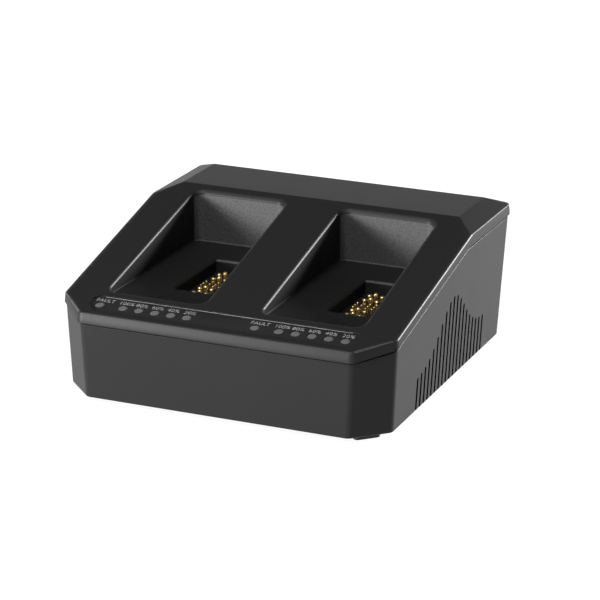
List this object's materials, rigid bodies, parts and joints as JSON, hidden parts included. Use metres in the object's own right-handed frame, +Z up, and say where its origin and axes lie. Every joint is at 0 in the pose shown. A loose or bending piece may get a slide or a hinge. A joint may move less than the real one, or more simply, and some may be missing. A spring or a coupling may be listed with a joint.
{
  "type": "battery charger",
  "caption": "Desktop charger with a drafted, vented housing, a sloped deck with deep battery bays, sprung contacts in the bay floors and a row of indicator windows.",
  "frame": {"origin": "centre of the bounding box's bottom face: the surface on which the four feet stand, in the middle of the charger", "axes": "+Z up, -Y towards the low front edge with the indicator windows, +Y towards the mains inlet, +X to the right as seen from the front"},
  "size_m": [0.16, 0.163, 0.07],
  "materials": {
    "housing_black": "matte, fine spark-eroded grain",
    "foot_rubber": "matte",
    "screw_steel": "zinc plated",
    "overlay_film": "satin",
    "light_guide": "frosted",
    "board_laminate": "solder mask",
    "led_white": "moulded",
    "insulator_black": "moulded",
    "contact_gold": "gold plated",
    "ribbon_grey": "moulded",
    "package_black": "moulded",
    "ferrite_grey": "sintered",
    "sleeve_dark": "shrink sleeve",
    "heat_sink_aluminium": "extruded",
    "supply_laminate": "bare laminate",
    "winding_tape": "taped",
    "copper_wire": "enamelled",
    "fuse_glass": "plated caps",
    "lead_insulation": "extruded",
    "lead_red": "extruded"
  },
  "bodies": {
    "charger": {"top_cover": "housing_black", "lower_housing": "housing_black", "foot_front_left": "foot_rubber", "foot_front_right": "foot_rubber", "foot_rear_left": "foot_rubber", "foot_rear_right": "foot_rubber", "case_screws": "screw_steel", "indicator_overlay": "overlay_film", "light_guide_left": "light_guide", "light_guide_right": "light_guide", "indicator_board": "board_laminate", "indicator_leds": "led_white", "indicator_board_screws": "screw_steel", "contact_block_left": "insulator_black", "contact_block_right": "insulator_black", "contact_board_left": "board_laminate", "contact_board_right": "board_laminate", "contact_screws_left": "screw_steel", "contact_screws_right": "screw_steel", "power_barrels_left": "contact_gold", "power_barrels_right": "contact_gold", "signal_barrels_left": "contact_gold", "signal_barrels_right": "contact_gold", "contact_cable_left": "ribbon_grey", "contact_cable_right": "ribbon_grey", "charge_board": "board_laminate", "charge_chips": "package_black", "power_inductors": "ferrite_grey", "output_capacitors": "sleeve_dark", "heat_sink_left": "heat_sink_aluminium", "heat_sink_right": "heat_sink_aluminium", "indicator_cable": "ribbon_grey", "supply_board": "supply_laminate", "board_screws": "screw_steel", "transformer_core": "ferrite_grey", "transformer_winding": "winding_tape", "bulk_capacitor": "sleeve_dark", "line_choke": "copper_wire", "bridge_rectifier": "package_black", "fuse": "fuse_glass", "supply_heat_sink": "heat_sink_aluminium", "inlet_body": "insulator_black", "inlet_pins": "screw_steel", "inlet_leads": "lead_insulation", "supply_leads": "lead_red"},
    "left_plungers": {"power_plungers_left": "contact_gold", "signal_plungers_left": "contact_gold"},
    "right_plungers": {"power_plungers_right": "contact_gold", "signal_plungers_right": "contact_gold"}
  },
  "joints": [
    {"name": "left_plunger_travel", "type": "slide", "parent": "charger", "child": "left_plungers", "axis": [0, 0, -1], "range_m": [0, 0.0012], "stiffness_N_per_m": 12000, "springref_m": -0.0006},
    {"name": "right_plunger_travel", "type": "slide", "parent": "charger", "child": "right_plungers", "axis": [0, 0, -1], "range_m": [0, 0.0012], "stiffness_N_per_m": 12000, "springref_m": -0.0006}
  ]
}
